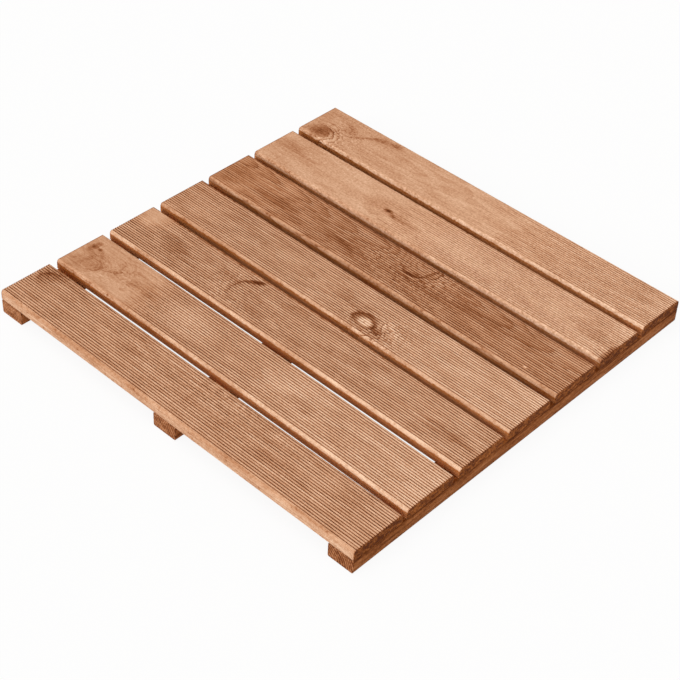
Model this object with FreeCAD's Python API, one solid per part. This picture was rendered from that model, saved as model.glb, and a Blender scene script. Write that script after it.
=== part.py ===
import FreeCAD, Part
import math
import os

# Square timber deck tile: reeded slats laid side by side on cross battens, screwed from beneath.
# X runs along the slats, Y across them and Z up; the origin is the centre of the underside.
# All lengths are in millimetres.

# Slats
SLAT_COUNT = 7
SLAT_LENGTH = 500.0
SLAT_WIDTH = 65.0
SLAT_THICKNESS = 12.0
SLAT_GAP = 7.5
SLAT_ROUNDOVER = 4.0
SLAT_ARRIS = 1.0

# How far the ends of each slat stand across from their even spacing, left-hand end and
# right-hand end, because the tile was put together by hand. The slats are in order from the near
# edge.
SLAT_SET = ((0.0, 0.0), (0.6, -1.4), (0.5, -0.5), (0.5, -1.4), (0.5, -0.8), (0.0, 0.0), (0.0, 0.0))

# Reeding on the slats' top faces
GROOVE_PITCH = 3.0
GROOVE_MOUTH = 1.4
GROOVE_ROOT = 0.6
GROOVE_DEPTH = 0.8
EDGE_LAND = 4.0

# Battens
BATTEN_NAMES = ("batten_left", "batten_middle", "batten_right")
BATTEN_WIDTH = 31.0
BATTEN_HEIGHT = 17.0
BATTEN_ARRIS = 1.5

# Countersunk wood screws, one at each crossing. They and their holes have a few flat sides instead
# of a round one, which keeps the many of them light.
SCREW_SIDES = 12
SCREW_HEAD_DIAMETER = 7.0
SCREW_SHANK_DIAMETER = 3.5
SCREW_POINT = 3.0
SCREW_TIP_DIAMETER = 0.6
SCREW_HEAD_SINK = 0.5
SCREW_COVER = 3.5
SHANK_CLEARANCE = 0.25

# Sizes worked out from those above
SLAT_PITCH = SLAT_WIDTH + SLAT_GAP
TILE_WIDTH = SLAT_COUNT * SLAT_PITCH - SLAT_GAP
TILE_HEIGHT = BATTEN_HEIGHT + SLAT_THICKNESS
GROOVE_COUNT = 1 + round((SLAT_WIDTH - 2 * EDGE_LAND) // GROOVE_PITCH)
BATTEN_PITCH = (SLAT_LENGTH - BATTEN_WIDTH) / (len(BATTEN_NAMES) - 1)
SCREW_TIP = TILE_HEIGHT - SCREW_COVER

ORIGIN = FreeCAD.Vector(0, 0, 0)
ALONG = FreeCAD.Vector(1, 0, 0)
ACROSS = FreeCAD.Vector(0, 1, 0)
UP = FreeCAD.Vector(0, 0, 1)


def line(start, end):
    return Part.LineSegment(start, end).toShape()


def arc(start, middle, end):
    return Part.Arc(start, middle, end).toShape()


def eased_corner(corner, inward, radius):
    """Start, middle and end of the quarter round that eases a corner drawn across X."""
    centre = corner + inward * radius
    middle = centre - inward * radius * math.sqrt(0.5)
    return centre - ACROSS * inward.y * radius, middle, centre - UP * inward.z * radius


def slat_top(y):
    """The point at y on a slat's top surface, which falls away along its rounded long edges."""
    into_round = max(0.0, abs(y) - (SLAT_WIDTH / 2 - SLAT_ROUNDOVER))
    drop = SLAT_ROUNDOVER - math.sqrt(SLAT_ROUNDOVER ** 2 - into_round ** 2)
    return FreeCAD.Vector(0, y, TILE_HEIGHT - drop)


def groove(y):
    """One groove centred on y: two sloping walls and a narrow flat root."""
    root = slat_top(y) - UP * GROOVE_DEPTH
    corners = [
        slat_top(y - GROOVE_MOUTH / 2),
        root - ACROSS * (GROOVE_ROOT / 2),
        root + ACROSS * (GROOVE_ROOT / 2),
        slat_top(y + GROOVE_MOUTH / 2),
    ]
    return [line(start, end) for start, end in zip(corners, corners[1:])]


def reeding():
    """A slat's top from its first groove to its last, with a flat ridge between each two."""
    edges = []
    for i in range(GROOVE_COUNT):
        y = (i - (GROOVE_COUNT - 1) / 2) * GROOVE_PITCH
        edges += groove(y)
        if i < GROOVE_COUNT - 1:
            next_lip = y + GROOVE_PITCH - GROOVE_MOUTH / 2
            edges.append(line(slat_top(y + GROOVE_MOUTH / 2), slat_top(next_lip)))
    return edges


def long_edge():
    """The +Y long edge of a slat, from its outermost groove over the roundover to the underside."""
    half = SLAT_WIDTH / 2
    lip = (GROOVE_COUNT - 1) * GROOVE_PITCH / 2 + GROOVE_MOUTH / 2
    round_start = max(lip, half - SLAT_ROUNDOVER)
    round_end = FreeCAD.Vector(0, half, TILE_HEIGHT - SLAT_ROUNDOVER)
    round_centre = round_end - ACROSS * SLAT_ROUNDOVER
    half_turn = math.acos((round_start - round_centre.y) / SLAT_ROUNDOVER) / 2
    outward = ACROSS * math.cos(half_turn) + UP * math.sin(half_turn)
    low_corner = FreeCAD.Vector(0, half, BATTEN_HEIGHT)
    arris = eased_corner(low_corner, UP - ACROSS, SLAT_ARRIS)

    edges = [
        arc(slat_top(round_start), round_centre + outward * SLAT_ROUNDOVER, round_end),
        line(round_end, arris[0]),
        arc(*arris),
    ]
    if round_start > lip:
        edges.append(line(slat_top(lip), slat_top(round_start)))
    return edges


def slat(number):
    """One slat, its reeded section drawn from its left-hand end to its right-hand end."""
    left_set, right_set = SLAT_SET[number % len(SLAT_SET)]
    centre_y = (number - (SLAT_COUNT - 1) / 2) * SLAT_PITCH
    half_base = SLAT_WIDTH / 2 - SLAT_ARRIS
    base = line(
        FreeCAD.Vector(0, -half_base, BATTEN_HEIGHT),
        FreeCAD.Vector(0, half_base, BATTEN_HEIGHT),
    )
    far_edge = long_edge()
    near_edge = [edge.mirror(ORIGIN, ACROSS) for edge in far_edge]
    outline = Part.sortEdges(reeding() + far_edge + near_edge + [base])[0]
    section = Part.Face(Part.Wire(outline))
    section.translate(ACROSS * (centre_y + left_set) - ALONG * (SLAT_LENGTH / 2))
    return section.extrude(ALONG * SLAT_LENGTH + ACROSS * (right_set - left_set))


def batten(x):
    """One batten centred on x, a planed bar with eased long edges, as long as the tile is wide."""
    bar = Part.makeBox(
        BATTEN_WIDTH,
        TILE_WIDTH,
        BATTEN_HEIGHT,
        FreeCAD.Vector(x - BATTEN_WIDTH / 2, -TILE_WIDTH / 2, 0),
    )
    long_edges = [edge for edge in bar.Edges if edge.Length > max(BATTEN_WIDTH, BATTEN_HEIGHT) + 1e-6]
    return bar.makeFillet(BATTEN_ARRIS, long_edges)


def flat_face(corners):
    return Part.Face(Part.makePolygon(corners + corners[:1]))


def ring(radius, height):
    """The corners of one level of a screw or of its hole."""
    turns = [2 * math.pi * i / SCREW_SIDES for i in range(SCREW_SIDES)]
    return [FreeCAD.Vector(radius * math.cos(turn), radius * math.sin(turn), height) for turn in turns]


def stacked(outline):
    """A solid about Z, from the (radius, height) of each level at which its taper changes."""
    rings = [ring(radius, height) for radius, height in outline]
    faces = [flat_face(rings[0]), flat_face(rings[-1])]
    for low, high in zip(rings, rings[1:]):
        for i in range(SCREW_SIDES):
            faces.append(flat_face([low[i - 1], low[i], high[i], high[i - 1]]))
    return Part.Solid(Part.Shell(faces))


def screw():
    """One countersunk screw, its head just below the batten's underside and its point in a slat."""
    head = SCREW_HEAD_DIAMETER / 2
    shank = SCREW_SHANK_DIAMETER / 2
    return stacked([
        (head, SCREW_HEAD_SINK),
        (shank, SCREW_HEAD_SINK + head - shank),
        (shank, SCREW_TIP - SCREW_POINT),
        (SCREW_TIP_DIAMETER / 2, SCREW_TIP),
    ])


def screw_hole():
    """The countersunk clearance hole for one screw, right through a batten."""
    mouth = SCREW_HEAD_DIAMETER / 2 + SCREW_HEAD_SINK
    hole = SCREW_SHANK_DIAMETER / 2 + SHANK_CLEARANCE
    return stacked([(mouth, 0), (hole, mouth - hole), (hole, BATTEN_HEIGHT)])


def crossings(x):
    """Where a batten centred on x passes under the middle of each slat."""
    return [ALONG * x + ACROSS * ((i - (SLAT_COUNT - 1) / 2) * SLAT_PITCH) for i in range(SLAT_COUNT)]


batten_x = [(i - (len(BATTEN_NAMES) - 1) / 2) * BATTEN_PITCH for i in range(len(BATTEN_NAMES))]
screws = [screw().translated(place) for x in batten_x for place in crossings(x)]

nodes = {"deck_screws": Part.makeCompound(screws)}
for number in range(SLAT_COUNT):
    nodes[f"slat_{number + 1}"] = slat(number).cut(nodes["deck_screws"])
for name, x in zip(BATTEN_NAMES, batten_x):
    holes = [screw_hole().translated(place) for place in crossings(x)]
    nodes[name] = batten(x).cut(holes)

os.makedirs("parts", exist_ok=True)
for name, shape in nodes.items():
    shape.exportStep(f"parts/{name}.step")
    print(f"{name}: {len(shape.Solids)} solids, valid {shape.isValid()}, {shape.Volume / 1000:.1f} cm3")
print(f"tile {SLAT_LENGTH:g} x {TILE_WIDTH:g} x {TILE_HEIGHT:g} mm, {GROOVE_COUNT} grooves a slat")
print(f"screw length {SCREW_TIP - SCREW_HEAD_SINK:g} mm")
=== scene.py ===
import math
from collections import namedtuple

import bpy
from mathutils import Euler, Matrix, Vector


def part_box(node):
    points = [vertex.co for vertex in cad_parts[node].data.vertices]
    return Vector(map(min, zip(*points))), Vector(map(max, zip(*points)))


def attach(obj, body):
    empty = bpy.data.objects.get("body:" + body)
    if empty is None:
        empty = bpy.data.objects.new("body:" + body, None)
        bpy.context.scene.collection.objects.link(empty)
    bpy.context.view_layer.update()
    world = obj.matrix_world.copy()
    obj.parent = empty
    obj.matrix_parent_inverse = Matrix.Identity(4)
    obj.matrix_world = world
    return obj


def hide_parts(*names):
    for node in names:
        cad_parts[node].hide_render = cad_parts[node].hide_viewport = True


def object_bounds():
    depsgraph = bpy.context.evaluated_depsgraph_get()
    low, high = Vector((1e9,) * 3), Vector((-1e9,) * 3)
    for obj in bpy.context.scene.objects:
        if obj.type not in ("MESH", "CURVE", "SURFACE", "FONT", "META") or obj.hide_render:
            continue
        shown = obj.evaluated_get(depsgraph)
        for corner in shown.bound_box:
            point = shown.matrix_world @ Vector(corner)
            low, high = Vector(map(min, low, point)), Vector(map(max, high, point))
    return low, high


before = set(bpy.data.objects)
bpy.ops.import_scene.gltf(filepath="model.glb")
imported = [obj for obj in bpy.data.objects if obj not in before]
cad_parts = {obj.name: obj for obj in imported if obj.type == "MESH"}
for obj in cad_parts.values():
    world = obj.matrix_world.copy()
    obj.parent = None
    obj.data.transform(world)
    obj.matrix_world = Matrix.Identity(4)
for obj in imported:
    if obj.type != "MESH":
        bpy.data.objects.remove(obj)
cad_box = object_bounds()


# The battens: three planed softwood bars laid across under the slats, one at each end and one in the
# middle. Each is drilled and countersunk from beneath for seven screws. They took up more of the
# brown preservative than the slats did.
MM = 0.001
BATTEN_ARRIS = 1.5 * MM
BATTEN_STATION = 5 * MM
HOLE_RADIUS = 2.0 * MM
COUNTERSINK_RADIUS = 4.0 * MM
SCREW_ROWS = 7
HEAD_RADIUS = 3.5 * MM

# How dark each batten is, from 0 for the palest wood to 1 for the darkest.
BATTENS = {"batten_left": 0.46, "batten_middle": 0.54, "batten_right": 0.60}

# In a batten's wood, in millimetres: how far the pith lies to the left of the batten's middle and
# below its underside, how far apart the growth rings are, how far in from the ends the end grain
# shows, and how high up the sides the painted shadow under the slats starts and over what height
# it darkens.
BATTEN_PITH_ASIDE = 34
BATTEN_PITH_BELOW = 8
BATTEN_RING = 3.2
BATTEN_END_GRAIN = 1.2
UNDER_SLAT_SHADOW_START = 11.5
UNDER_SLAT_SHADOW_RISE = 4


class Flow:
    """A node's output that takes Python's arithmetic: each operation adds its Math node."""

    def __init__(self, graph, socket):
        self.graph = graph
        self.socket = socket

    def math(self, operation, *others):
        """The Math node that works on this value and then on the others."""
        values = dict(enumerate((self, *others)))
        return self.graph.node("ShaderNodeMath", {"operation": operation}, values)

    def reflected(self, operation, first):
        return self.graph.node("ShaderNodeMath", {"operation": operation}, {0: first, 1: self})

    def __add__(self, other):
        return self.math("ADD", other)

    def __radd__(self, other):
        return self.reflected("ADD", other)

    def __sub__(self, other):
        return self.math("SUBTRACT", other)

    def __rsub__(self, other):
        return self.reflected("SUBTRACT", other)

    def __mul__(self, other):
        return self.math("MULTIPLY", other)

    def __rmul__(self, other):
        return self.reflected("MULTIPLY", other)

    def __truediv__(self, other):
        return self.math("DIVIDE", other)

    def __rtruediv__(self, other):
        return self.reflected("DIVIDE", other)

    def __gt__(self, other):
        return self.math("GREATER_THAN", other)

    def __lt__(self, other):
        return self.math("LESS_THAN", other)

    def __abs__(self):
        return self.math("ABSOLUTE")

    def least(self, other):
        return self.math("MINIMUM", other)

    def most(self, other):
        return self.math("MAXIMUM", other)

    def held(self):
        """This value kept between 0 and 1."""
        return self.least(1).most(0)


class Graph:
    """A node tree, with the one method that every node in this file comes from."""

    def __init__(self, tree):
        self.tree = tree

    def node(self, kind, settings=None, sockets=None, output=0):
        made = self.tree.nodes.new(kind)
        for key, value in (settings or {}).items():
            if key == "stops":
                stops = made.color_ramp.elements
                while len(stops) < len(value):
                    stops.new(1)
                for stop, (position, colour) in zip(stops, value):
                    stop.position = position
                    stop.color = colour
            else:
                setattr(made, key, value)
        for key, value in (sockets or {}).items():
            for one in value if isinstance(value, list) else [value]:
                if isinstance(one, Flow):
                    self.tree.links.new(one.socket, made.inputs[key])
                else:
                    made.inputs[key].default_value = one
        return Flow(self, made.outputs[output]) if len(made.outputs) else None

    def parts(self, vector):
        """The X, Y and Z of a vector."""
        first = self.node("ShaderNodeSeparateXYZ", None, {0: vector})
        return [Flow(self, axis) for axis in first.socket.node.outputs]

    def vector(self, x, y, z):
        return self.node("ShaderNodeCombineXYZ", None, {0: x, 1: y, 2: z})

    def noise(self, vector, detail, roughness):
        """Noise of about one lump to a unit of the vector, from -0.5 to 0.5."""
        sockets = {"Vector": vector, "Scale": 1.0, "Detail": detail, "Roughness": roughness}
        return self.node("ShaderNodeTexNoise", None, sockets) - 0.5


def making(name, inputs):
    """A new Geometry Nodes tree with these named inputs, and its inputs as flows."""
    tree = bpy.data.node_groups.new(name, "GeometryNodeTree")
    for label, kind in inputs.items():
        tree.interface.new_socket(label, in_out="INPUT", socket_type="NodeSocket" + kind)
    tree.interface.new_socket("Geometry", in_out="OUTPUT", socket_type="NodeSocketGeometry")
    graph = Graph(tree)
    first = graph.node("NodeGroupInput")
    return graph, [Flow(graph, first.socket.node.outputs[label]) for label in inputs]


def made_whole(graph, geometry, material):
    """Ends a Geometry Nodes tree with real geometry in its material."""
    real = graph.node("GeometryNodeRealizeInstances", None, {0: geometry})
    finished = graph.node("GeometryNodeSetMaterial", None, {"Geometry": real, "Material": material})
    graph.node("NodeGroupOutput", None, {0: finished})


SMOOTH_UP_TO = math.radians(35)


def piece(name, graph, values):
    """The plain mesh object that a Geometry Nodes tree makes from these values of its inputs."""
    thing = bpy.data.objects.new(name, bpy.data.meshes.new(name))
    bpy.context.scene.collection.objects.link(thing)
    modifier = thing.modifiers.new(name, "NODES")
    modifier.node_group = graph.tree
    for socket in graph.tree.interface.items_tree:
        if socket.in_out == "INPUT":
            modifier[socket.identifier] = values[socket.name]
    evaluated = thing.evaluated_get(bpy.context.evaluated_depsgraph_get())
    mesh = bpy.data.meshes.new_from_object(evaluated)
    thing.modifiers.clear()
    mesh.name = name
    mesh.shade_smooth()
    mesh.set_sharp_from_angle(angle=SMOOTH_UP_TO)
    thing.data = mesh
    return thing


def swept(graph, section, length, station, turn):
    """A closed section carried up Z for a length with a ring at each station, then laid down."""
    end = graph.vector(0, 0, length / 2)
    start = graph.vector(0, 0, length / -2)
    path = graph.node("GeometryNodeCurvePrimitiveLine", None, {"Start": start, "End": end})
    count = length / station + 1
    path = graph.node("GeometryNodeResampleCurve", None, {"Curve": path, "Count": count})
    body = graph.node(
        "GeometryNodeCurveToMesh", None, {"Curve": path, "Profile Curve": section, "Fill Caps": True}
    )
    return graph.node("GeometryNodeTransform", None, {"Geometry": body, "Rotation": turn})


def colour(red, green, blue):
    """A colour as the eye names it, from 0 to 255, in the linear values that Blender wants."""
    linear = [((level / 255 + 0.055) / 1.055) ** 2.4 for level in (red, green, blue)]
    return (*linear, 1.0)


WOOD_GLOSS = 0.06

# From the palest early wood, over the brown of the preservative, to the darkest of a knot. Wood that
# is soaked with more of the preservative is redder and darker all the way, and the same redder browns
# also colour the painted shade in the slats' gaps, along their far edges and on their cut ends.
PINE = (
    (0.00, colour(243, 207, 177)),
    (0.25, colour(217, 172, 139)),
    (0.50, colour(188, 136, 101)),
    (0.75, colour(148, 91, 56)),
    (1.00, colour(92, 46, 20)),
)
SOAKED_AND_SHADED_PINE = (
    (0.00, colour(218, 146, 93)),
    (0.50, colour(174, 101, 44)),
    (1.00, colour(100, 46, 8)),
)


def object_place(graph):
    """The place on the object in millimetres, which is what the grain is laid out in."""
    where = graph.node("ShaderNodeTexCoord", None, None, "Object")
    return graph.node("ShaderNodeVectorMath", {"operation": "SCALE"}, {0: where, "Scale": 1000})


def wood(graph, tone, redness, roughness, relief, depth):
    """Treated pine's surface, from its tone, how far it leans to the redder browns, and its bumped
    relief.
    """
    dry = graph.node("ShaderNodeValToRGB", {"stops": PINE}, {0: tone})
    wet = graph.node("ShaderNodeValToRGB", {"stops": SOAKED_AND_SHADED_PINE}, {0: tone})
    tint = graph.node("ShaderNodeMix", {"data_type": "RGBA"}, {0: redness, 6: dry, 7: wet}, 2)
    bump = graph.node("ShaderNodeBump", None, {"Strength": 1.0, "Distance": depth, "Height": relief})
    shader = graph.node(
        "ShaderNodeBsdfPrincipled",
        None,
        {
            "Base Color": tint,
            "Roughness": roughness,
            "Normal": bump,
            "Specular IOR Level": WOOD_GLOSS,
        },
    )
    graph.node("ShaderNodeOutputMaterial", None, {"Surface": shader})


def new_material(name):
    """An empty material, and the graph of its nodes."""
    material = bpy.data.materials.new(name)
    material.use_nodes = True
    material.node_tree.nodes.clear()
    return material, Graph(material.node_tree)


def batten_timber(name, place, half_length, tone, seed):
    """Brown preserved pine, its grain along Y: saw marks, ringed ends and painted shadow under the
    slats.
    """
    material, graph = new_material(name)
    x, y, z = graph.parts(object_place(graph))
    fibre = graph.noise(graph.vector(x / 1.6 + seed * 9, y / 60, z / 1.6), 4, 0.6)
    blotch = graph.noise(graph.vector(x / 14 + seed * 5, y / 45, z / 5), 3, 0.6)
    mottle = graph.noise(graph.vector(x / 3, y / 4 + seed * 5, z / 2.5), 3, 0.7)
    sway = graph.noise(graph.vector(x / 30, y / 90 + seed, z / 30), 1, 0.5) * 7
    from_pith = graph.vector(x - place + BATTEN_PITH_ASIDE + sway, 0, z + BATTEN_PITH_BELOW)
    radius = graph.node("ShaderNodeVectorMath", {"operation": "LENGTH"}, {0: from_pith}, "Value")
    ring = (radius / BATTEN_RING + mottle * 0.25).math("FRACT")
    saw = graph.noise(graph.vector(x / 20, y / 0.9, z / 20), 2, 0.5)
    ended = (abs(y) - (half_length - BATTEN_END_GRAIN)).held()
    sides = 1 - ended
    # Painted shadow: each side darkens towards its top, where the slats above shade it.
    under_slat_shadow = ((z - UNDER_SLAT_SHADOW_START) / UNDER_SLAT_SHADOW_RISE).held() * sides
    tone = tone + fibre * (0.45 + sides * 0.35) + blotch * (0.75 + sides * 0.45)
    tone = tone + mottle * (1.25 - sides * 0.35) + ended * 0.22
    tone = tone + (ring * ring - 0.33) * (0.10 + ended * 0.50) + under_slat_shadow * 0.26
    wood(graph, tone, 0.80 - ended * 0.45, 0.68 + fibre * 0.2, fibre + saw * 0.5, 0.25 * MM)
    return material


batten_tree, (
    width, height, length, place, arris, station, hole, mouth, spacing, count, material
) = making("batten", {
    "Width": "Float",
    "Height": "Float",
    "Length": "Float",
    "Place": "Float",
    "Arris": "Float",
    "Station": "Float",
    "Hole Radius": "Float",
    "Countersink Radius": "Float",
    "Screw Spacing": "Float",
    "Screw Count": "Int",
    "Material": "Material",
})
g = batten_tree
section = g.node("GeometryNodeCurvePrimitiveQuadrilateral", None, {"Width": width, "Height": height})
section = g.node(
    "GeometryNodeFilletCurve",
    {"mode": "POLY"},
    {"Curve": section, "Count": 3, "Radius": arris},
)
lying = g.node("FunctionNodeInputVector", {"vector": (math.radians(90), 0, 0)})
bar = swept(g, section, length, station, lying)
centre = g.vector(place, 0, height / 2)
bar = g.node("GeometryNodeTransform", None, {"Geometry": bar, "Translation": centre})

drill = g.node(
    "GeometryNodeMeshCylinder", None, {"Vertices": 32, "Radius": hole, "Depth": height * 2}
)
sink = g.node(
    "GeometryNodeMeshCone",
    None,
    {
        "Vertices": 32,
        "Radius Top": hole,
        "Radius Bottom": mouth * 2 - hole,
        "Depth": (mouth - hole) * 2,
    },
)
sunk = g.vector(0, 0, hole - mouth)
sink = g.node("GeometryNodeTransform", None, {"Geometry": sink, "Translation": sunk})
first = g.vector(place, spacing * (count - 1) / -2, 0)
row = g.node(
    "GeometryNodeMeshLine",
    None,
    {"Count": count, "Start Location": first, "Offset": g.vector(0, spacing, 0)},
)
drills = g.node("GeometryNodeInstanceOnPoints", None, {"Points": row, "Instance": drill})
sinks = g.node("GeometryNodeInstanceOnPoints", None, {"Points": row, "Instance": sink})
bar = g.node(
    "GeometryNodeMeshBoolean",
    {"operation": "DIFFERENCE", "solver": "EXACT"},
    {"Mesh 1": bar, "Mesh 2": [drills, sinks]},
)
made_whole(g, bar, material)

low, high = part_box("deck_screws")
screw_spacing = (high[1] - low[1] - HEAD_RADIUS * 2) / (SCREW_ROWS - 1)
for number, (name, tone) in enumerate(BATTENS.items()):
    low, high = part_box(name)
    centre_x = (low[0] + high[0]) / 2
    timber = batten_timber("timber_of_" + name, centre_x / MM, high[1] / MM, tone, number)
    bar = piece("planed_" + name, batten_tree, {
        "Width": high[0] - low[0],
        "Height": high[2] - low[2],
        "Length": high[1] - low[1],
        "Place": centre_x,
        "Arris": BATTEN_ARRIS,
        "Station": BATTEN_STATION,
        "Hole Radius": HOLE_RADIUS,
        "Countersink Radius": COUNTERSINK_RADIUS,
        "Screw Spacing": screw_spacing,
        "Screw Count": SCREW_ROWS,
        "Material": timber,
    })
    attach(bar, "root")
    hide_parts(name)


# The slats: seven planed softwood boards laid side by side on the battens, their top faces reeded by
# a moulding cutter and their long top edges rounded over. The cutter took less than its full depth
# where a board was thin or bowed, so some of the reeding dies out towards the left.
GROOVE_DEPTH = 0.8 * MM
GROOVE_PITCH = 3.0 * MM
GROOVES = 20
RIDGE_EASE = 0.12 * MM
SLAT_ROUNDOVER = 4.0 * MM
SLAT_ARRIS = 1.0 * MM
SLAT_STATION = 2.5 * MM
EDGE_WEAR = 0.50 * MM
END_WEAR = 0.30 * MM
END_REACH = 3.0 * MM
TORN_DEPTH = 3.0 * MM
TOP_SKIN = 0.2 * MM

slat_tree, (
    length, width, thickness, underside, roundover, arris, pitch, depth, ease, grooves, station,
    wear, end_wear, end_reach, place, left_set, right_set, bow, start, run, least,
    bare, bare_reach, torn, torn_reach, torn_depth, seed, material
) = making("slat", {
    "Length": "Float",
    "Width": "Float",
    "Thickness": "Float",
    "Underside": "Float",
    "Roundover": "Float",
    "Arris": "Float",
    "Groove Pitch": "Float",
    "Groove Depth": "Float",
    "Ridge Ease": "Float",
    "Grooves": "Int",
    "Station": "Float",
    "Edge Wear": "Float",
    "End Wear": "Float",
    "End Reach": "Float",
    "Place": "Float",
    "Left Set": "Float",
    "Right Set": "Float",
    "Bow": "Float",
    "Reeding Start": "Float",
    "Reeding Run": "Float",
    "Reeding Least": "Float",
    "Bare Spot": "Vector",
    "Bare Reach": "Float",
    "Torn Spot": "Vector",
    "Torn Reach": "Float",
    "Torn Depth": "Float",
    "Seed": "Float",
    "Material": "Material",
})
g = slat_tree

# A slat's section, as points counted outwards from the middle of its top: eight to each groove, then
# six round the roundover and three round the arris.
half = width / 2
flat_steps = grooves * 4 - 2
last_step = flat_steps + 9
point = last_step - g.node("GeometryNodeInputIndex")
step = abs(point)
flat_y = step.least(flat_steps) * pitch / 8
into_round = (flat_y - half + roundover).most(0)
flat_z = thickness - roundover + (roundover * roundover - into_round * into_round).math("SQRT")
round_from = (into_round / roundover).math("ARCSINE")
round_part = ((step - flat_steps) / 6).held()
angle = round_from + round_part * (math.pi / 2 - round_from)
round_y = half - roundover + roundover * angle.math("SINE")
round_z = thickness - roundover + roundover * angle.math("COSINE")
low_turn = ((step - flat_steps - 7) / 2).held() * math.pi / 2
low_y = half - arris + arris * low_turn.math("COSINE")
low_z = arris - arris * low_turn.math("SINE")
on_round = step > flat_steps + 0.5
on_arris = step > flat_steps + 6.5
section_y = flat_y * (1 - on_round) + round_y * (on_round - on_arris) + low_y * on_arris
section_z = flat_z * (1 - on_round) + round_z * (on_round - on_arris) + low_z * on_arris
section = g.node("GeometryNodeCurvePrimitiveLine")
section = g.node("GeometryNodeResampleCurve", None, {"Curve": section, "Count": last_step * 2 + 1})
section = g.node("GeometryNodeSetSplineCyclic", None, {"Geometry": section, "Cyclic": True})
outline = g.vector(section_y * point.math("SIGN"), section_z, 0)
section = g.node("GeometryNodeSetPosition", None, {"Geometry": section, "Position": outline})

# The section becomes a plain eased board along X, and the reeding is then cut into its top.
lying = g.node("FunctionNodeInputVector", {"vector": (math.radians(90), 0, math.radians(90))})
board = swept(g, section, length, station, lying)
where = g.node("GeometryNodeInputPosition")
x, y, z = g.parts(where)
on_top = z > thickness - TOP_SKIN
ragged = g.noise(g.vector(x / (30 * MM) + seed * 7, y / (6 * MM), seed), 3, 0.6)
uneven = g.noise(g.vector(x / (20 * MM) + seed * 3, y / (2.2 * MM), seed), 2, 0.5)
keep = ((x - start) / run + ragged * 0.9).held()
keep = least + (1 - least) * keep * keep * (3 - 2 * keep)
from_bare = g.node("ShaderNodeVectorMath", {"operation": "DISTANCE"}, {0: where, 1: bare}, "Value")
keep = keep * (from_bare / bare_reach - 0.6 + ragged).held()
turn_count = y / pitch
from_groove = abs(turn_count.math("FRACT") - 0.5) * pitch
into_groove = (1 - from_groove / (pitch / 4)).held()
cut = into_groove * (2 - into_groove) * (1 + uneven * 0.35)
crown = (from_groove / (pitch / 4) - 1).held()
fallen = (1 - crown) * (1 - crown) * ease
from_torn = g.node("ShaderNodeVectorMath", {"operation": "DISTANCE"}, {0: where, 1: torn}, "Value")
tear = (1 - from_torn / torn_reach + ragged * 0.8).held()
worn_end = (1 - (length / 2 - abs(x)) / end_reach).held() * end_wear
reeded_z = z - on_top * ((keep * (depth * cut + fallen)).most(worn_end) + tear * torn_depth)

# The rounded edges are nibbled, and the whole board then shifts to where it was laid.
side = y.math("SIGN")
near_edge = ((abs(y) - half + roundover * 1.5) / (roundover * 1.5)).held()
near_edge = near_edge * ((z - thickness + roundover * 1.4) / (roundover * 0.6)).held()
nibble = g.noise(g.vector(x / (12 * MM) + seed * 5, side * 3, z / (10 * MM)), 3, 0.6)
worn_y = y - side * near_edge * wear * (nibble + 0.5).held()
along = x / length + 0.5
set_y = left_set + (right_set - left_set) * along + bow * 4 * along * (1 - along)

board = g.node(
    "GeometryNodeStoreNamedAttribute",
    {"data_type": "FLOAT", "domain": "POINT"},
    {"Geometry": board, "Name": "reeding", "Value": on_top * keep * into_groove},
)
board = g.node(
    "GeometryNodeSetPosition",
    None,
    {"Geometry": board, "Position": g.vector(x, worn_y + set_y, reeded_z)},
)
board = g.node(
    "GeometryNodeTransform", None, {"Geometry": board, "Translation": g.vector(0, place, underside)}
)
made_whole(g, board, material)


# A mark in the wood's figure, in millimetres from the slat's middle and degrees from its length: how
# much it darkens its core and its rim, how strong the ripples of grain round it are, and which way
# rim and ripples lean. A patch is a mark with a core alone, whose edge fades into the clouds.
Mark = namedtuple("Mark", "at reach turn core rim ripple lean", defaults=(0, 0, 0, 0, (0, 0)))


def seen_from(graph, x, y, mark):
    """A place along, across and away from a mark, each as a share of the mark's reach."""
    cosine = math.cos(math.radians(mark.turn))
    sine = math.sin(math.radians(mark.turn))
    from_x = x - mark.at[0]
    from_y = y - mark.at[1]
    along = (from_x * cosine + from_y * sine) / mark.reach[0]
    across = (from_y * cosine - from_x * sine) / mark.reach[1]
    spot = graph.vector(along, across, 0)
    away = graph.node("ShaderNodeVectorMath", {"operation": "LENGTH"}, {0: spot}, "Value")
    return along, across, away


# Where a slat's finish and its painted shade change, in millimetres: across from its middle line, then
# up from its top, and last in from its ends.
ROUND_START = 28.6
FAR_EDGE_SHADE_START = 29.4
SIDE_START = 30.2
ROUND_LEVEL = -4.2
BAND_LEVEL = -5.5
UNDERSIDE_LEVEL = -11.9
CUT_SKIN = 0.05
END_STAIN = 1.3


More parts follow.
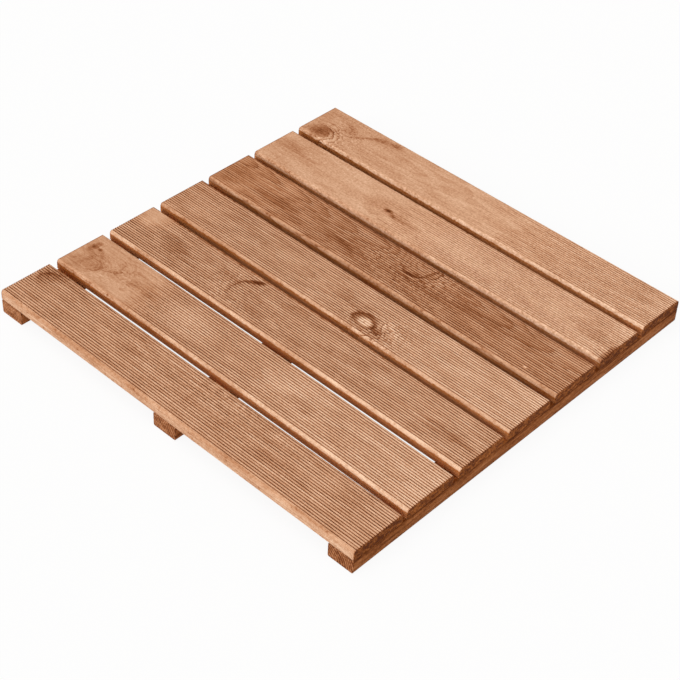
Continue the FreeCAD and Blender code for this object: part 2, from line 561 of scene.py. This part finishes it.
def slat_timber(name, place, top, half_length, look, seed):
    """Preserved pine along X: rings, knots, resin flecks, grooves and ends dark from stain and painted
    shade.
    """
    material, graph = new_material(name)
    x, y, z = graph.parts(object_place(graph))
    y = y - place
    z = z - top
    sway = graph.noise(graph.vector(x / 150 + seed, y / 45, z / 45), 2, 0.5)
    wobble = graph.noise(graph.vector(x / 9 + seed, y / 6, z / 6), 3, 0.55)
    drift = graph.noise(graph.vector(x / 17, y / 13, seed), 1, 0.5)
    fibre = graph.noise(graph.vector(x / 40 + seed * 9, y / 0.8, z / 0.8), 3, 0.6)
    streak = graph.noise(graph.vector(x / 70 + seed * 3, y / 2.6, z / 2.6), 3, 0.55)
    blotch = graph.noise(graph.vector(x / 38 + seed * 5, y / 13, z / 13), 4, 0.6)
    mottle = graph.noise(graph.vector(x / 3 + seed * 7, y / 2.2, z / 2.2), 4, 0.75)
    bruise = graph.noise(graph.vector(x / 6 + seed, y / 9, z / 4), 2, 0.6)
    fleck = (graph.noise(graph.vector(x / 6, y / 0.7 + seed, z / 0.7), 1, 0.5) - 0.15).held()

    # Each mark also pushes the growth rings apart round it.
    pushed = 0
    marks = 0
    for mark in look["marks"]:
        along, across, away = seen_from(graph, x, y, mark)
        away = away * (1 + wobble * 0.7)
        leaning = (0.5 + along * mark.lean[0] + across * mark.lean[1]).held()
        inside = (1.25 - away).held()
        edge = (1 - abs(away - 1) / 0.4).held()
        ring = (away * 2.6 + drift * 1.6 + wobble * 0.3).math("FRACT")
        around = ((away - 0.6) / 0.4).held()
        ripples = (ring * ring - 0.33) * 2 * around * leaning / (1 + away * away * 0.3)
        marks = marks + inside * mark.core + edge * leaning * mark.rim + ripples * mark.ripple
        pushed = pushed + mark.reach[1] * 0.8 / (1 + away * away)
    for patch in look["patches"]:
        away = seen_from(graph, x, y, patch)[-1]
        marks = marks + (1 - away + blotch + streak).held() * patch.core

    pith_y, pith_z, tilt, spacing = look["heart"]
    across = graph.vector(0, y - pith_y + sway * 26, z - pith_z + x * tilt + sway * 12)
    radius = graph.node("ShaderNodeVectorMath", {"operation": "LENGTH"}, {0: across}, "Value")
    ring = ((radius + pushed + wobble * 0.5) / spacing).math("FRACT")

    # From 0 to 1: the cut ends, the grooves, the sides in a gap where shade is painted, the painted
    # shade along the far edge, the underside, and the rounded long edges down to where that painted
    # shade starts.
    from_end = half_length - abs(x)
    cut_end = from_end < CUT_SKIN
    reeding = graph.node("ShaderNodeAttribute", {"attribute_name": "reeding"}, None, "Fac")
    # The roots of the grooves are darkened, partly by stain and partly as painted shade.
    stain_and_shade = reeding * (2 - reeding) * (1 - cut_end)
    faces_slat = look["sides"][0] * (y < 0) + look["sides"][1] * (y > 0)
    flank = ((abs(y) - SIDE_START) / 1.4).held()
    shaded = ((look["lip"] - z + bruise * 2.4) / 0.7).held() * flank * faces_slat
    # Painted shade along the far rounded edge, where it turns down into the gap.
    far_edge_shade = ((y - FAR_EDGE_SHADE_START + bruise * 1.5) / 0.8).held()
    beneath = z < UNDERSIDE_LEVEL
    lit = ((z - ROUND_LEVEL) / 1.2).held().most(1 - faces_slat)
    rounded = ((abs(y) - ROUND_START) / 1.6).held() * lit

    tone = look["left"] + (look["right"] - look["left"]) * (x / (half_length * 2) + 0.5) + marks
    tone = tone + streak * (0.50 - look["mottle"] * 0.4) + blotch * look["blotch"]
    # Fine mottling, stronger on the rounded edges and in the painted shade of the gaps.
    tone = tone + mottle * (look["mottle"] + rounded * 0.4 + shaded * 0.5)
    tone = tone + rounded * (bruise - 0.08).held() * 1.4
    tone = tone + fibre * 0.30 + fleck * 0.9 + (ring * ring - 0.33) * look["figure"]
    # Groove roots darken with stain and painted shade; sides facing a neighbour get painted shade,
    # deepest just under the rounded edge and paler further down.
    tone = tone + stain_and_shade * look["groove_stain_and_shade"] + shaded * (0.28 + z * 0.045)
    tone = tone + rounded * ((z - BAND_LEVEL) / 1.5).held() * look["band"]
    # The top darkens over its last millimetre at each end, and the far edge takes its painted shade.
    tone = tone + (1 - from_end / END_STAIN).held() * 0.36 + far_edge_shade * look["far_edge_shade"]
    # The cut end grain is darker and redder, partly its own colour and partly painted shade.
    tone = tone + cut_end * (look["end"] - tone * 0.8 + mottle * 2.0 + bruise * 1.5)
    # Redder for the preservative, the cut ends, the underside and the painted shade of the gaps and
    # far edge.
    redness = (tone - 0.5).held() * 0.4 + look["redness"] * (1 - rounded)
    redness = redness.most(cut_end).most(shaded * shaded * 0.95).most(beneath * 0.6)
    redness = redness.most(far_edge_shade * look["far_edge_shade"])
    wood(graph, tone, redness, 0.66 + fibre * 0.2, fibre + streak * 0.5, 0.20 * MM)
    return material


# How each slat differs, in order from the near edge, in millimetres from the middle of its top:
#   set, reeding: how far its left end, its right end and its middle stand across, and where its
#       reeding starts, over what run it deepens, and the least share of it that is left
#   bare, torn: a spot where the reeding is worn off or the corner is torn away, and how far it reaches
#    left, right, redness, end: how dark it is at its two ends, from 0 for the palest wood to 1 for the
#        darkest, how red the preservative has turned it, and how dark the cut end grain is, partly its
#        own colour and partly painted shade
#    blotch, mottle, figure, groove_stain_and_shade: how strong its clouds, its fine marks and its
#    growth
#        rings are, and how dark the roots of its grooves are, from stain and painted shade
#    band, far_edge_shade: how much darker its rounded edges are than its top, or paler where it is
#        below 0, and how dark the painted shade along its far edge is
#   lip, sides: how far below its top a gap's shade starts, and whether its near and far sides face one
#   heart: where the pith lay, across and up, how it leans, and how far apart the growth rings are
#   marks, patches: its knots and the ripples round them, and its clouds of darker or paler wood
SLATS = (
    {
        "set": (0.0, 0.0, 0.0), "reeding": (-300, 60, 0.7),
        "left": 0.33, "right": 0.29, "redness": 0.0, "end": 0.74,
        "blotch": 0.50, "mottle": 0.34, "figure": 0.12, "groove_stain_and_shade": 0.60,
        "band": 0.09, "far_edge_shade": 0.0, "lip": -2.9, "sides": (0.0, 1.0),
        "heart": (12, -45, 0.02, 3.4),
        "marks": (
            Mark((-228, 17), (14, 8), 25, 0.10, 0.26, 0.10, (-0.2, 0.6)),
            Mark((-205, 24), (40, 4), -4, 0.10),
            Mark((-34, 34), (52, 17), 0, ripple=0.20, lean=(0.35, -0.15)),
        ),
        "patches": (
            Mark((-236, 20), (22, 14), core=0.22),
            Mark((-10, 8), (60, 8), core=0.12),
            Mark((120, -8), (60, 8), core=0.08),
        ),
    },
    {
        "set": (0.3, -1.7, 0.7), "reeding": (-165, 60, 0.0),
        "left": 0.44, "right": 0.14, "redness": 0.0, "end": 0.65,
        "blotch": 0.42, "mottle": 0.56, "figure": 0.10, "groove_stain_and_shade": 0.68,
        "band": -0.07, "far_edge_shade": 0.0, "lip": -2.9, "sides": (1.0, 1.0),
        "heart": (-8, -40, 0.03, 3.8),
        "marks": (
            Mark((-240, 12), (9, 4), 80, 0.34, 0.14, 0.06, (0.5, -0.5)),
            Mark((-231, 12), (3, 2.4), 0, 0.38),
            Mark((-222, -12), (14, 9), 20, 0.02, 0.17, 0.14, (0.6, 0.2)),
            Mark((-207, 2), (18, 12), 10, 0.0, 0.12, 0.14, (0.6, -0.2)),
        ),
        "patches": (
            Mark((-228, -6), (26, 26), core=0.14),
            Mark((-165, 4), (34, 14), core=0.14),
            Mark((-84, 0), (50, 26), core=-0.26),
            Mark((60, 2), (50, 26), core=-0.16),
            Mark((84, -3), (26, 9), core=0.12),
            Mark((96, -9), (9, 5), core=0.22),
        ),
    },
    {
        "set": (0.3, -0.9, 0.8), "reeding": (-300, 60, 0.6),
        "bare": ((-236, 24), 20),
        "left": 0.35, "right": 0.28, "redness": 0.0, "end": 0.61,
        "blotch": 0.50, "mottle": 0.36, "figure": 0.12, "groove_stain_and_shade": 0.70,
        "band": -0.12, "far_edge_shade": 0.45, "lip": -2.9, "sides": (1.0, 1.0),
        "heart": (5, -38, 0.03, 3.2),
        "marks": (
            Mark((-80, 19), (15, 3.0), 38, 0.34),
            Mark((-74, 23), (7, 3.4), 20, 0.50),
            Mark((-78, 0), (18, 13), 90, 0.0, 0.20, 0.20, (0.2, 0.7)),
            Mark((-40, -10), (40, 12), 0, 0.0, 0.0, 0.10, (-0.5, 0.0)),
        ),
        "patches": (
            Mark((-185, -2), (34, 14), core=0.20),
            Mark((-100, 8), (26, 9), core=0.14),
            Mark((213, -5), (34, 12), core=0.18),
        ),
    },
    {
        "set": (0.5, -1.4, 0.0), "reeding": (-260, 140, 0.6),
        "left": 0.36, "right": 0.17, "redness": 0.0, "end": 0.64,
        "blotch": 0.44, "mottle": 0.34, "figure": 0.12, "groove_stain_and_shade": 0.74,
        "band": 0.08, "far_edge_shade": 0.62, "lip": -2.3, "sides": (1.0, 1.0),
        "heart": (-4, -42, 0.02, 3.0),
        "marks": (
            Mark((45, -15.6), (11, 7), 0, -0.40, 0.72, 0.0, (0.1, 0.1)),
            Mark((43, -14), (14, 9.5), 0, 0.0, 0.60, 0.0, (-0.6, 0.4)),
            Mark((44, -16), (1.8, 1.5), 0, 0.55),
            Mark((60, -19), (9, 3.5), -35, 0.36),
            Mark((46, -15), (18, 13), 0, 0.0, 0.0, 0.44, (0.5, -0.25)),
        ),
        "patches": (
            Mark((64, -22), (22, 12), core=0.24),
            Mark((15, 2), (45, 12), core=0.20),
            Mark((20, -22), (24, 8), core=0.16),
            Mark((-150, 8), (60, 10), core=0.10),
        ),
    },
    {
        "set": (0.5, -0.8, 0.0), "reeding": (-230, 180, 0.25),
        "left": 0.49, "right": 0.39, "redness": 0.14, "end": 0.64,
        "blotch": 0.50, "mottle": 0.36, "figure": 0.24, "groove_stain_and_shade": 0.70,
        "band": 0.02, "far_edge_shade": 0.35, "lip": -3.9, "sides": (1.0, 1.0),
        "heart": (18, -30, 0.05, 2.6),
        "marks": (
            Mark((-6, 0), (11, 8), 0, 0.0, 0.16, 0.26, (-0.3, 0.2)),
            Mark((13, 6), (4, 3), 0, 0.16),
            Mark((24, 3.5), (14, 2.2), 10, 0.34),
            Mark((41, 18), (16, 2.6), 72, 0.30),
            Mark((28, 24), (22, 18), 40, 0.0, 0.16, 0.36, (0.3, -0.7)),
            Mark((202, -23), (3.5, 1.2), 0, -0.60),
        ),
        "patches": (
            Mark((-228, 0), (26, 26), core=0.12),
            Mark((110, 4), (110, 14), core=0.18),
            Mark((-60, -10), (70, 8), core=0.18),
            Mark((-165, -8), (40, 14), core=0.14),
        ),
    },
    {
        "set": (0.0, 0.0, 0.0), "reeding": (-90, 160, 0.0),
        "torn": ((252, -24), 18),
        "left": 0.38, "right": 0.16, "redness": 0.0, "end": 0.77,
        "blotch": 0.40, "mottle": 0.95, "figure": 0.05, "groove_stain_and_shade": 0.62,
        "band": 0.04, "far_edge_shade": 0.58, "lip": -4.3, "sides": (1.0, 1.0),
        "heart": (-10, -48, 0.02, 4.0),
        "marks": (
            Mark((-66, -3.5), (5.5, 2.8), 0, 0.66, 0.20),
            Mark((-56, -8), (6, 3), -25, 0.34),
            Mark((-78, -10), (14, 9), 0, 0.0, 0.10, 0.06, (-0.4, -0.6)),
            Mark((250, -20), (5, 16), 0, 0.60, 0.20),
        ),
        "patches": (
            Mark((-215, 5), (40, 20), core=0.22),
            Mark((-72, 0), (34, 22), core=0.16),
            Mark((-40, -6), (30, 7), core=0.20),
            Mark((38, 0), (80, 26), core=-0.12),
            Mark((225, 0), (34, 24), core=0.14),
        ),
    },
    {
        "set": (0.0, 0.0, 0.0), "reeding": (-20, 220, 0.0),
        "left": 0.43, "right": 0.22, "redness": 0.0, "end": 0.76,
        "blotch": 0.46, "mottle": 0.90, "figure": 0.10, "groove_stain_and_shade": 0.62,
        "band": -0.10, "far_edge_shade": 0.0, "lip": -2.9, "sides": (1.0, 0.0),
        "heart": (6, -32, 0.05, 3.6),
        "marks": (
            Mark((-229, -20), (13, 10), 0, 0.36, 0.14, 0.0, (0.4, 0.0)),
            Mark((-226, -21), (17, 12), 0, 0.0, 0.0, 0.40, (0.9, 0.1)),
            Mark((-207, 14), (12, 3), -20, 0.16),
            Mark((-180, 9), (22, 2.6), 41, 0.18),
            Mark((-165, 17), (10, 5), 20, 0.20),
            Mark((-144, 23), (9, 5), 10, 0.22),
        ),
        "patches": (
            Mark((-200, 4), (30, 10), core=0.12),
            Mark((-215, -10), (26, 14), core=0.18),
            Mark((-155, 20), (34, 8), core=0.16),
        ),
    },
)

# The bare or torn spot of a slat that has none: one that lies well away from it.
ELSEWHERE = ((0, 900), 1)

low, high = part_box("slat_1")
slat_width = high[1] - low[1]
slat_pitch = (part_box("slat_7")[0][1] - low[1]) / (len(SLATS) - 1)
for number, look in enumerate(SLATS):
    name = f"slat_{number + 1}"
    place = low[1] + slat_width / 2 + number * slat_pitch
    bare_spot, bare_reach_mm = look.get("bare", ELSEWHERE)
    torn_spot, torn_reach_mm = look.get("torn", ELSEWHERE)
    half_length = (high[0] - low[0]) / 2
    timber = slat_timber(
        f"slat_timber_{number + 1}", place / MM, high[2] / MM, half_length / MM, look, number
    )
    board = piece("reeded_" + name, slat_tree, {
        "Length": high[0] - low[0],
        "Width": slat_width,
        "Thickness": high[2] - low[2],
        "Underside": low[2],
        "Roundover": SLAT_ROUNDOVER,
        "Arris": SLAT_ARRIS,
        "Groove Pitch": GROOVE_PITCH,
        "Groove Depth": GROOVE_DEPTH,
        "Ridge Ease": RIDGE_EASE,
        "Grooves": GROOVES,
        "Station": SLAT_STATION,
        "Edge Wear": EDGE_WEAR,
        "End Wear": END_WEAR,
        "End Reach": END_REACH,
        "Place": place,
        "Left Set": look["set"][0] * MM,
        "Right Set": look["set"][1] * MM,
        "Bow": look["set"][2] * MM,
        "Reeding Start": look["reeding"][0] * MM,
        "Reeding Run": look["reeding"][1] * MM,
        "Reeding Least": look["reeding"][2],
        "Bare Spot": (bare_spot[0] * MM, bare_spot[1] * MM, high[2] - low[2]),
        "Bare Reach": bare_reach_mm * MM,
        "Torn Spot": (torn_spot[0] * MM, torn_spot[1] * MM, high[2] - low[2]),
        "Torn Reach": torn_reach_mm * MM,
        "Torn Depth": TORN_DEPTH,
        "Seed": float(number),
        "Material": timber,
    })
    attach(board, "root")
    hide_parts(name)


# The screws: one countersunk steel wood screw at each crossing, driven up through a batten into a
# slat. Each has a flat head with a cross recess, a plain shank, and a thread that starts inside the
# batten and ends at a point in the slat. No two heads stopped at the same turn.
SHANK_RADIUS = 1.75 * MM
CORE_RADIUS = 1.2 * MM
TIP_RADIUS = 0.3 * MM
POINT_LENGTH = 3.0 * MM
THREAD_START = 12.0 * MM
THREAD_PITCH = 1.6 * MM
SCREW_STATION = 0.25 * MM
RECESS_REACH = 2.0 * MM
RECESS_DEPTH = 1.6 * MM
RECESS_SLIMNESS = 0.26

screw_tree, (
    length, head, shank, core, tip, point_length, thread_start, thread_pitch, station, recess_reach,
    recess_depth, slimness, columns, rows, column_spacing, row_spacing, centre, seed, material
) = making("screws", {
    "Length": "Float",
    "Head Radius": "Float",
    "Shank Radius": "Float",
    "Core Radius": "Float",
    "Tip Radius": "Float",
    "Point Length": "Float",
    "Thread Start": "Float",
    "Thread Pitch": "Float",
    "Station": "Float",
    "Recess Reach": "Float",
    "Recess Depth": "Float",
    "Recess Slimness": "Float",
    "Columns": "Int",
    "Rows": "Int",
    "Column Spacing": "Float",
    "Row Spacing": "Float",
    "Centre": "Vector",
    "Seed": "Int",
    "Material": "Material",
})
g = screw_tree
rod = g.node(
    "GeometryNodeMeshCylinder",
    None,
    {"Vertices": 20, "Side Segments": length / station, "Radius": 1.0, "Depth": length},
)
x, y, z = g.parts(g.node("GeometryNodeInputPosition"))
height = z + length / 2
turn_count = height / thread_pitch - y.math("ARCTAN2", x) / (2 * math.pi)
ridge = 1 - abs(turn_count.math("FRACT") - 0.5) * 2
threaded = height > thread_start
body = shank - threaded * (shank - core) * (1 - ridge)
taper = tip + (length - height) / point_length * (shank - tip)
radius = body.least(taper).most(head - height)
rod = g.node(
    "GeometryNodeSetPosition",
    None,
    {"Geometry": rod, "Position": g.vector(x * radius, y * radius, height)},
)
recess_tip = recess_reach / 4
blade = g.node(
    "GeometryNodeMeshCone",
    None,
    {
        "Vertices": 4,
        "Radius Top": recess_tip,
        "Radius Bottom": recess_reach * 2 - recess_tip,
        "Depth": recess_depth * 2,
    },
)
lengthwise = g.vector(1, slimness, 1)
crosswise = g.vector(slimness, 1, 1)
below = g.vector(0, 0, recess_depth * -1)
blades = [
    g.node(
        "GeometryNodeTransform", None, {"Geometry": blade, "Translation": below, "Scale": flattened}
    )
    for flattened in (lengthwise, crosswise)
]
one = g.node(
    "GeometryNodeMeshBoolean",
    {"operation": "DIFFERENCE", "solver": "EXACT"},
    {"Mesh 1": rod, "Mesh 2": blades},
)
points = g.node(
    "GeometryNodeMeshGrid",
    None,
    {
        "Size X": column_spacing * (columns - 1),
        "Size Y": row_spacing * (rows - 1),
        "Vertices X": columns,
        "Vertices Y": rows,
    },
)
points = g.node("GeometryNodeTransform", None, {"Geometry": points, "Translation": centre})
stopped = g.node(
    "FunctionNodeRandomValue",
    {"data_type": "FLOAT"},
    {"Min": 0.0, "Max": 2 * math.pi, "Seed": seed},
    1,
)
many = g.node(
    "GeometryNodeInstanceOnPoints",
    None,
    {"Points": points, "Instance": one, "Rotation": g.vector(0, 0, stopped)},
)
made_whole(g, many, material)


def screw_steel():
    """Zinc-plated steel, dulled in soft clouds."""
    material, graph = new_material("screw_steel")
    x, y, z = graph.parts(object_place(graph))
    cloud = graph.noise(graph.vector(x / 2, y / 2, z / 2), 3, 0.6)
    shader = graph.node(
        "ShaderNodeBsdfPrincipled",
        None,
        {"Base Color": colour(196, 192, 182), "Metallic": 1.0, "Roughness": 0.34 + cloud * 0.3},
    )
    graph.node("ShaderNodeOutputMaterial", None, {"Surface": shader})
    return material


low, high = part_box("deck_screws")
column_spacing = (high[0] - low[0] - HEAD_RADIUS * 2) / (len(BATTENS) - 1)
screws = piece("deck_screws_visual", screw_tree, {
    "Length": high[2] - low[2],
    "Head Radius": HEAD_RADIUS,
    "Shank Radius": SHANK_RADIUS,
    "Core Radius": CORE_RADIUS,
    "Tip Radius": TIP_RADIUS,
    "Point Length": POINT_LENGTH,
    "Thread Start": THREAD_START,
    "Thread Pitch": THREAD_PITCH,
    "Station": SCREW_STATION,
    "Recess Reach": RECESS_REACH,
    "Recess Depth": RECESS_DEPTH,
    "Recess Slimness": RECESS_SLIMNESS,
    "Columns": len(BATTENS),
    "Rows": SCREW_ROWS,
    "Column Spacing": column_spacing,
    "Row Spacing": screw_spacing,
    "Centre": ((low[0] + high[0]) / 2, (low[1] + high[1]) / 2, low[2]),
    "Seed": 5,
    "Material": screw_steel(),
})
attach(screws, "root")
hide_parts("deck_screws")


# The floor, the light and the camera of the product photograph: a white floor that keeps a trace of
# the tile's shadow, one broad lamp above, one low lamp in front of the near slat, and a long lens
# looking down at the tile from its near right corner.
FLOOR_SIZE = 12
FLOOR_CLEARANCE = 0.05 * MM
FLOOR_GLOW = 0.91
ROOM_LIGHT = 0.425


def seen_bare(graph):
    """1 where the camera, a reflection or glass looks at the floor or the room itself, otherwise 0."""
    rays = [
        graph.node("ShaderNodeLightPath", None, None, f"Is {kind} Ray")
        for kind in ("Camera", "Glossy", "Transmission")
    ]
    return rays[0].most(rays[1]).most(rays[2])


bpy.ops.mesh.primitive_plane_add(size=FLOOR_SIZE)
floor = bpy.context.object
floor.name = "floor"
floor.location.z = cad_box[0][2] - FLOOR_CLEARANCE
floor_material, graph = new_material("white_floor")
paint = graph.node("ShaderNodeBsdfDiffuse", None, {"Color": colour(236, 236, 236)})
glow = graph.node("ShaderNodeEmission", None, {"Color": (1, 1, 1, 1), "Strength": 1.0})
shown = graph.node(
    "ShaderNodeMixShader", None, {0: seen_bare(graph) * FLOOR_GLOW, 1: paint, 2: glow}
)
graph.node("ShaderNodeOutputMaterial", None, {"Surface": shown})
floor.data.materials.append(floor_material)

world = bpy.data.worlds.new("studio")
bpy.context.scene.world = world
world.use_nodes = True
world.node_tree.nodes.clear()
graph = Graph(world.node_tree)
room = graph.node(
    "ShaderNodeBackground", None, {"Color": (1.0, 0.93, 0.86, 1), "Strength": ROOM_LIGHT}
)
white = graph.node("ShaderNodeBackground", None, {"Color": (1, 1, 1, 1), "Strength": 1.0})
sky = graph.node("ShaderNodeMixShader", None, {0: seen_bare(graph), 1: room, 2: white})
graph.node("ShaderNodeOutputWorld", None, {"Surface": sky})

# Each lamp: its strength, and in degrees how high it stands, how far round from the near edge, and
# how broad it looks from the tile.
LAMPS = {
    "overhead_lamp": (1.39, 78, -40, 60),
    "low_lamp": (1.3, 25, -12, 30),
}
for name, (strength, rise, round_from_front, breadth) in LAMPS.items():
    lamp = bpy.data.lights.new(name, "SUN")
    lamp.energy = strength
    lamp.angle = math.radians(breadth)
    stand = bpy.data.objects.new(name, lamp)
    stand.rotation_euler = Euler((math.radians(90 - rise), 0, math.radians(round_from_front)))
    bpy.context.scene.collection.objects.link(stand)

# The camera as fitted to the photograph: where it stands and what it looks at in metres, its turn
# about its line of sight in degrees, its lens in millimetres, and the middle of its view in pixels.
CAMERA_AT = Vector((0.8765, -0.9828, 1.1239))
CAMERA_AIM = Vector((0.0490, -0.0239, 0.0150))
CAMERA_ROLL = 3.51
CAMERA_LENS = 87.05
FRAME_PIXELS = 680
PHOTO_CENTRE = (362, 338)
camera = bpy.data.cameras.new("camera")
camera.sensor_width = 36
camera.lens = CAMERA_LENS
camera.shift_x = (FRAME_PIXELS / 2 - PHOTO_CENTRE[0]) / FRAME_PIXELS
camera.shift_y = (PHOTO_CENTRE[1] - FRAME_PIXELS / 2) / FRAME_PIXELS
stand = bpy.data.objects.new("camera", camera)
stand.location = CAMERA_AT
looking = (CAMERA_AIM - CAMERA_AT).to_track_quat("-Z", "Y").to_euler().to_matrix()
roll = Euler((0, 0, math.radians(CAMERA_ROLL))).to_matrix()
stand.rotation_euler = (looking @ roll).to_euler()
bpy.context.scene.collection.objects.link(stand)
bpy.context.scene.camera = stand
bpy.context.scene.view_settings.view_transform = "Standard"
